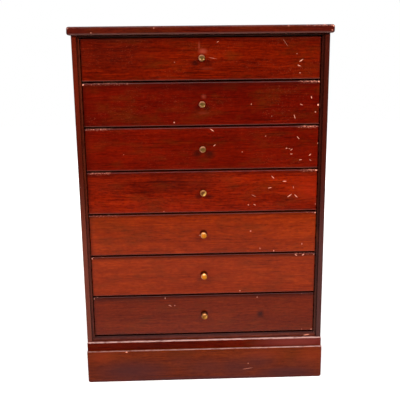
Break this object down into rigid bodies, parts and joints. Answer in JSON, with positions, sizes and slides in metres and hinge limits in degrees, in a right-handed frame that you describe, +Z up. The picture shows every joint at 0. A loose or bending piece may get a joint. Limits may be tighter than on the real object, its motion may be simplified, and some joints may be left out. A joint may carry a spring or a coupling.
{
  "type": "sheet music cabinet",
  "caption": "Free-standing wooden cabinet with a stack of shallow dovetailed drawers on side runners, a set-back frame round the opening, a stepped plinth and an overhanging top.",
  "frame": {"origin": "centre of the cabinet's box in plan, on the floor", "axes": "+Z up, -Y towards the front, where the drawers open, +X to the right seen from the front"},
  "size_m": [0.517, 0.381, 0.737],
  "materials": {
    "polished_mahogany": "French-polished mahogany, gloss, worn along the edges",
    "carcase_mahogany": "stained and polished mahogany, satin",
    "beech": "planed beech, unfinished",
    "plywood": "sanded plywood, unfinished",
    "brass": "turned brass, tarnished on the upper knobs"
  },
  "bodies": {
    "carcase": {"top_board": "polished_mahogany", "carcase_side_left": "carcase_mahogany", "carcase_side_right": "carcase_mahogany", "frame_strip_left": "carcase_mahogany", "frame_strip_right": "carcase_mahogany", "frame_strip_top": "carcase_mahogany", "frame_strip_bottom": "carcase_mahogany", "top_rail_front": "beech", "top_rail_back": "beech", "bottom_board": "plywood", "back_panel": "plywood", "base_rail_front": "carcase_mahogany", "plinth_board": "polished_mahogany", "base_rail_back": "beech", "corner_block_front_left": "beech", "corner_block_front_right": "beech", "corner_block_back_left": "beech", "corner_block_back_right": "beech"},
    "drawer_1": {"drawer_1_front": "polished_mahogany", "drawer_1_side_left": "beech", "drawer_1_side_right": "beech", "drawer_1_back": "beech", "drawer_1_bottom": "plywood", "drawer_1_knob": "brass"},
    "drawer_2": {"drawer_2_front": "polished_mahogany", "drawer_2_side_left": "beech", "drawer_2_side_right": "beech", "drawer_2_back": "beech", "drawer_2_bottom": "plywood", "drawer_2_knob": "brass"},
    "drawer_3": {"drawer_3_front": "polished_mahogany", "drawer_3_side_left": "beech", "drawer_3_side_right": "beech", "drawer_3_back": "beech", "drawer_3_bottom": "plywood", "drawer_3_knob": "brass"},
    "drawer_4": {"drawer_4_front": "polished_mahogany", "drawer_4_side_left": "beech", "drawer_4_side_right": "beech", "drawer_4_back": "beech", "drawer_4_bottom": "plywood", "drawer_4_knob": "brass"},
    "drawer_5": {"drawer_5_front": "polished_mahogany", "drawer_5_side_left": "beech", "drawer_5_side_right": "beech", "drawer_5_back": "beech", "drawer_5_bottom": "plywood", "drawer_5_knob": "brass"},
    "drawer_6": {"drawer_6_front": "polished_mahogany", "drawer_6_side_left": "beech", "drawer_6_side_right": "beech", "drawer_6_back": "beech", "drawer_6_bottom": "plywood", "drawer_6_knob": "brass"},
    "drawer_7": {"drawer_7_front": "polished_mahogany", "drawer_7_side_left": "beech", "drawer_7_side_right": "beech", "drawer_7_back": "beech", "drawer_7_bottom": "plywood", "drawer_7_knob": "brass"}
  },
  "joints": [
    {"name": "drawer_1_slide", "type": "slide", "parent": "carcase", "child": "drawer_1", "axis": [0, -1, 0], "range_m": [0, 0.25]},
    {"name": "drawer_2_slide", "type": "slide", "parent": "carcase", "child": "drawer_2", "axis": [0, -1, 0], "range_m": [0, 0.25]},
    {"name": "drawer_3_slide", "type": "slide", "parent": "carcase", "child": "drawer_3", "axis": [0, -1, 0], "range_m": [0, 0.25]},
    {"name": "drawer_4_slide", "type": "slide", "parent": "carcase", "child": "drawer_4", "axis": [0, -1, 0], "range_m": [0, 0.25]},
    {"name": "drawer_5_slide", "type": "slide", "parent": "carcase", "child": "drawer_5", "axis": [0, -1, 0], "range_m": [0, 0.25]},
    {"name": "drawer_6_slide", "type": "slide", "parent": "carcase", "child": "drawer_6", "axis": [0, -1, 0], "range_m": [0, 0.25]},
    {"name": "drawer_7_slide", "type": "slide", "parent": "carcase", "child": "drawer_7", "axis": [0, -1, 0], "range_m": [0, 0.25]}
  ]
}
